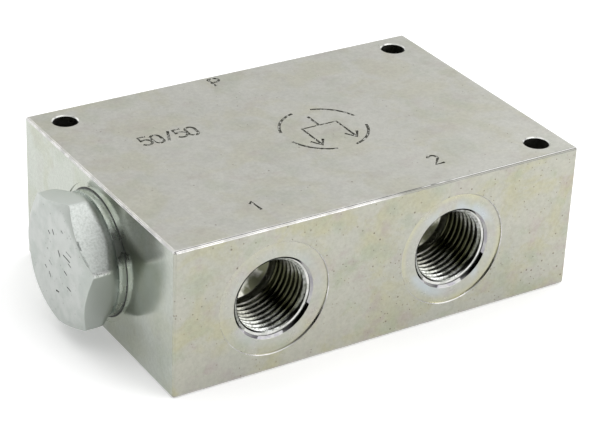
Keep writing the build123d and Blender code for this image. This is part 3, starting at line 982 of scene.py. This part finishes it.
def edge_zinc():
    """Narrow chamfers, brighter than the faces that they join, darker and rougher along the top to the
    right, where the darker colour is painted shade.
    """
    nodes = surface("edge_zinc")
    tone = nodes.ramp(nodes.clouds(3, 4, 0.6), 0.4, 0.62)
    color = nodes.mix(tone, (0.62, 0.61, 0.605), (0.46, 0.455, 0.45))
    place = nodes.axes()
    wavy = nodes.math("ADD", place["X"], nodes.patchy(-12, 12, 9, 2))
    upper = nodes.ramp(place["Z"], BODY_HIGH.z - 1.5, BODY_HIGH.z - 0.8)
    # darker along the top to the right: painted shade
    darkened = nodes.times(nodes.ramp(wavy, -24, 22), upper)
    color = nodes.mix(darkened, color, (0.21, 0.21, 0.195))
    rough = nodes.ramp(darkened, 0, 1, nodes.ramp(tone, 0, 1, 0.24, 0.36), 0.42)
    return nodes.finish(color, rough, nodes.bump(nodes.clouds(0.6, 4), 0.006))


def painted_edge_line():
    """Line where the top face turns into the front chamfer: painted shade, nearly black, on the left and a
    painted highlight, nearly white, on the right.
    """
    nodes = surface("painted_edge_line", metallic=0.0)
    tone = nodes.ramp(nodes.clouds(6, 4, 0.6), 0.36, 0.6)
    # nearly black: painted shade
    color = nodes.mix(tone, (0.012, 0.012, 0.01), (0.04, 0.04, 0.036))
    wavy = nodes.math("ADD", nodes.axes()["X"], nodes.patchy(-9, 9, 5, 3))
    # nearly white to the right: painted highlight
    color = nodes.mix(nodes.ramp(wavy, 4, 22), color, (0.93, 0.93, 0.91))
    return nodes.finish(color, nodes.ramp(tone, 0, 1, 0.5, 0.6), nodes.bump(nodes.clouds(0.6, 4), 0.004))


def mouth_zinc(name, one, other, rough):
    """Smooth countersink at the mouth of each port, or the shoulder behind it."""
    nodes = surface(name)
    tone = nodes.ramp(nodes.clouds(3, 3), 0.42, 0.6)
    rough = nodes.ramp(tone, 0, 1, rough, 1.4 * rough)
    return nodes.finish(nodes.mix(tone, one, other), rough, nodes.bump(nodes.clouds(0.5, 3), 0.003))


def painted_depth_shade(nodes):
    """1 at the mouth of a port, 0 deep inside, where the threads' colour is darkened as painted shade."""
    across = nodes.axes()["Y"]
    depth = nodes.math("SUBTRACT", BODY_HIGH.y, nodes.math("ABSOLUTE", across))
    return nodes.ramp(depth, 1.5, 13.0, 1, 0)


def outlet_place(nodes):
    """Distances to the right of and above the nearer outlet port's axis, and depth behind the front face."""
    place = nodes.axes()
    first, second = (mount["pos_m"][0] / MM for mount in PORTS[:2])
    spacing = second - first
    shifted = nodes.math("SUBTRACT", place["X"], first - spacing / 2)
    sideways = nodes.math("SUBTRACT", nodes.math("FLOORED_MODULO", shifted, spacing), spacing / 2)
    height = nodes.math("SUBTRACT", place["Z"], AXIS_HEIGHT)
    return sideways, height, nodes.math("ADD", place["Y"], BODY_HIGH.y)


def port_painted_shade(nodes):
    """1 in the painted shade, nearly black, low on the right side of each outlet port, 0 elsewhere."""
    sideways, height, depth = outlet_place(nodes)
    side = nodes.math("SUBTRACT", nodes.times(sideways, 0.9), nodes.times(height, 0.42))
    side = nodes.math("ADD", side, nodes.patchy(-0.5, 0.5, 4, 2))
    reach = nodes.times(nodes.ramp(side, 7.0, 9.0), nodes.ramp(depth, 1.5, 5.0, 0.45, 0.92))
    return nodes.times(reach, nodes.math("LESS_THAN", depth, BODY_HIGH.y))


def threaded_steel():
    """Tapped threads of each port, darkened deeper inside as painted shade, so lighter near the mouth."""
    nodes = surface("threaded_steel")
    tint = nodes.ramp(nodes.clouds(4, 3), 0.4, 0.65, 0, 0.7)
    bright = nodes.mix(tint, (0.42, 0.43, 0.42), (0.28, 0.30, 0.25))
    # darker deeper inside the port: painted shade
    color = nodes.mix(painted_depth_shade(nodes), (0.23, 0.23, 0.20), bright)
    stain = nodes.ramp(nodes.clouds(0.7, 4, 0.7), 0.44, 0.58, 0, 0.6)
    color = nodes.mix(stain, color, (0.08, 0.08, 0.065))
    # low on the right in each outlet port: painted shade
    color = nodes.mix(port_painted_shade(nodes), color, (0.050, 0.052, 0.024))
    rough = nodes.patchy(0.12, 0.2, 2, 4)
    chatter = nodes.bump(nodes.clouds(0.45, 3, 0.65), 0.012)
    return nodes.finish(color, rough, chatter)


def bored_steel():
    """Drilled walls, matt, with a dark colour that is painted shade inside the holes."""
    nodes = surface("bored_steel")
    tint = nodes.ramp(nodes.clouds(3, 3), 0.4, 0.65, 0, 0.8)
    # dark colour: painted shade
    color = nodes.mix(tint, (0.26, 0.26, 0.235), (0.17, 0.175, 0.145))
    rough = nodes.patchy(0.25, 0.4, 2, 4)
    marks = nodes.clouds(0.35, 2, 0.5, (0.05, 1.0, 0.05))
    return nodes.finish(color, rough, nodes.bump(marks, 0.004))


def drill_point_steel():
    """Conical end of the tapping drill's hole, with the drill's turning marks."""
    nodes = surface("drill_point_steel")
    tint = nodes.ramp(nodes.clouds(5, 3), 0.44, 0.58, 0, 1)
    color = nodes.mix(tint, (0.86, 0.86, 0.76), (0.30, 0.31, 0.20))
    marks = nodes.clouds(0.3, 2, 0.5, (0.05, 1.0, 0.05))
    return nodes.finish(color, nodes.ramp(tint, 0, 1, 0.3, 0.4), nodes.bump(marks, 0.006))


def painted_gap_shade():
    """Painted shade, nearly black, in the narrow recess round the plug's ring and in the step of each port's
    mouth.
    """
    nodes = surface("painted_gap_shade", metallic=0.0)
    tone = nodes.ramp(nodes.clouds(1.5, 3), 0.35, 0.65)
    color = nodes.mix(tone, (0.02, 0.022, 0.018), (0.05, 0.052, 0.045))
    return nodes.finish(color, nodes.ramp(tone, 0, 1, 0.4, 0.6), nodes.bump(nodes.clouds(0.3, 3), 0.01))


def stamped_zinc():
    """Pressed bottom of the stamped marks, where dirt gathers."""
    nodes = surface("stamped_zinc")
    dirt = nodes.ramp(nodes.clouds(0.9, 3), 0.38, 0.55)
    color = nodes.mix(dirt, (0.42, 0.42, 0.39), (0.08, 0.08, 0.065))
    rough = nodes.ramp(dirt, 0, 1, 0.45, 0.6)
    return nodes.finish(color, rough, nodes.bump(nodes.clouds(0.4, 4), 0.01))


def dent_shade(nodes):
    """1 in the bottom of the dents in the plug's end face, darkened there as painted shade, 0 elsewhere."""
    place = nodes.axes()
    depth = nodes.math("SUBTRACT", place["X"], PLUG_LOW.x)
    height = nodes.math("SUBTRACT", place["Z"], AXIS_HEIGHT)
    inside = nodes.math("LESS_THAN", square_sum(nodes, place["Y"], height), DENT_REACH ** 2)
    inside = nodes.times(inside, nodes.math("LESS_THAN", depth, 2 * DENT_RADIUS))
    amount = nodes.ramp(nodes.clouds(5, 3), 0.40, 0.58, 0.3, 0.95)
    return nodes.times(nodes.times(inside, amount), nodes.ramp(depth, 0.02, 0.1))


def plug_zinc():
    """Forged flats with a coarse skin, the upper and top flats lighter and the lower ones darker as painted
    light and shade, and a smoother turned end.
    """
    nodes = surface("plug_zinc")
    facing = nodes.add("ShaderNodeNewGeometry").outputs["True Normal"]
    turned = nodes.ramp(nodes.axes(facing)["X"], -0.95, -0.8, 1, 0)
    tint = nodes.ramp(nodes.clouds(6, 4, 0.6), 0.42, 0.62, 0, 0.8)
    end_color = nodes.mix(tint, (0.49, 0.51, 0.49), (0.43, 0.46, 0.435))
    grain = nodes.clouds(0.6, 5, 0.7)
    forged_and_lit = nodes.ramp(nodes.towards(facing, plug_direction(UPPER_FLAT_TURN)), 0.75, 0.95)
    top = nodes.ramp(nodes.axes(facing)["Z"], 0.8, 0.95)
    mottle = nodes.times(nodes.ramp(grain, 0.3, 0.62, 0.45, 0), forged_and_lit)
    # upper and top flats lighter, lower flats darker: painted light and painted shade
    side_color = nodes.mix(forged_and_lit, (0.45, 0.48, 0.45), (0.54, 0.565, 0.545))
    side_color = nodes.mix(top, side_color, (0.55, 0.58, 0.555))
    side_color = nodes.mix(mottle, side_color, (0.22, 0.24, 0.22))
    corner = nodes.ramp(nodes.towards(facing, plug_direction(UPPER_FLAT_TURN + 30)), 0.90, 0.96)
    rubbed = nodes.times(corner, nodes.ramp(nodes.clouds(1.2, 3), 0.4, 0.55))
    side_color = nodes.mix(rubbed, side_color, (0.92, 0.93, 0.92))
    color = nodes.mix(turned, side_color, end_color)
    marks = nodes.math("MAXIMUM", pits(nodes, 0.22, 0.5, 9), pits(nodes, 0.35, 0.3, 7))
    marks = nodes.times(turned, marks)
    color = nodes.mix(nodes.times(marks, 0.55), color, (0.14, 0.14, 0.13))
    # bottoms of the dents darkened: painted shade
    color = nodes.mix(dent_shade(nodes), color, (0.09, 0.095, 0.085))
    smooth = nodes.patchy(0.38, 0.48, 3, 4)
    rough = nodes.ramp(turned, 0, 1, 0.44, smooth)
    height = nodes.times(grain, nodes.ramp(turned, 0, 1, nodes.ramp(forged_and_lit, 0, 1, 0.25, 0.9), 0.1))
    skin = nodes.bump(nodes.times(marks, -1), 0.05, 1.0, nodes.bump(height, 0.1))
    return nodes.finish(color, rough, skin)


def inner_metal(name, light, dark, smooth, rough):
    """Plain finish of a piece inside the block: turned or ground steel with an oily film."""
    nodes = surface(name)
    film = nodes.ramp(nodes.clouds(4, 4), 0.35, 0.65)
    color = nodes.mix(film, light, dark)
    turned = nodes.clouds(0.15, 2, 0.5, (1, 0.05, 0.05))
    return nodes.finish(color, nodes.ramp(film, 0, 1, smooth, rough), nodes.bump(turned, 0.004))


def dress_cad_nodes():
    """Materials of the CAD nodes that are shown as they are."""
    finishes = {slot: inner_metal(slot, *look) for slot, look in INNER_FINISHES.items()}
    for subpart in frame["record"]["subparts"]:
        finish = finishes.get(subpart["material_slot"])
        if finish is None:
            continue
        node = frame["nodes"][subpart["node"]]
        node.data.materials.clear()
        node.data.materials.append(finish)


def make_springs():
    """The three coil springs, each a copy of its CAD node, which is hidden."""
    for name, node, still, moving, wire, side in SPRINGS:
        mesh = frame["nodes"][node].data.copy()
        mesh.name = name
        spring = placed(name, mesh)
        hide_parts(node)
        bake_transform(spring)


def make_camera():
    """Camera at the photograph's place and angle."""
    right, up = Vector(CAMERA_RIGHT), -Vector(CAMERA_DOWN)
    back = right.cross(up)
    data = bpy.data.cameras.new("camera")
    data.lens = CAMERA_LENS
    data.sensor_width = SENSOR_WIDTH
    data.clip_start = NEAR_CLIP
    camera = placed("camera", data)
    turn = Matrix((right, up, back)).transposed().to_4x4()
    camera.matrix_world = Matrix.Translation(Vector(CAMERA_PLACE) * MM) @ turn
    bpy.context.scene.camera = camera


def make_floor():
    """Plain pale floor, lit a little from below as a light table is."""
    mesh = bpy.data.meshes.new("floor")
    corners = [(x * FLOOR_REACH, y * FLOOR_REACH, 0) for x, y in ((-1, -1), (1, -1), (1, 1), (-1, 1))]
    mesh.from_pydata(corners, [], [(0, 1, 2, 3)])
    floor = placed("floor", mesh)
    floor.location.z = -FLOOR_DROP
    nodes = surface("floor_paint", metallic=0.0)
    tone = nodes.ramp(nodes.clouds(300, 2), 0.3, 0.7)
    nodes.finish(nodes.mix(tone, (0.86, 0.86, 0.86), (0.88, 0.88, 0.88)), 0.7)
    nodes.put(nodes.shader.inputs["Emission Color"], (1, 1, 1))
    away = nodes.add("ShaderNodeVectorMath", {0: nodes.place()}, operation="LENGTH").outputs["Value"]
    nodes.put(nodes.shader.inputs["Emission Strength"], nodes.ramp(away, 250, 900, 0.3, 0.8))
    mesh.materials.append(nodes.owner)


def area_light(name, place, size, power):
    """Square soft light, aimed at the block."""
    data = bpy.data.lights.new(name, "AREA")
    data.size = size
    data.energy = power
    lamp = placed(name, data)
    aim = Vector(LAMP_TARGET) - Vector(place)
    lamp.matrix_world = Matrix.Translation(place) @ aim.to_track_quat("-Z", "Y").to_matrix().to_4x4()


def make_light():
    """Soft studio light: large lamps, and a world of soft patches whose plain background looks white."""
    nodes = Nodes(bpy.data.worlds.new("world"), "Background")
    direction = nodes.add("ShaderNodeTexCoord").outputs["Generated"]
    patches = [
        nodes.ramp(nodes.towards(direction, Vector(along).normalized()), low, high, 0, brightest)
        for along, low, high, brightest in GLOWS
    ]
    patches.append(nodes.add("ShaderNodeLightPath").outputs["Is Camera Ray"])
    strength = patches[0]
    for patch in patches[1:]:
        strength = nodes.math("MAXIMUM", strength, patch)
    nodes.put(nodes.shader.inputs["Color"], (1, 1, 1))
    nodes.put(nodes.shader.inputs["Strength"], strength)
    bpy.context.scene.world = nodes.owner
    bpy.context.scene.view_settings.view_transform = "Standard"
    for lamp in LAMPS:
        area_light(*lamp)


make_camera()
make_light()
make_floor()
dress_cad_nodes()
make_block()
make_plug()
make_springs()
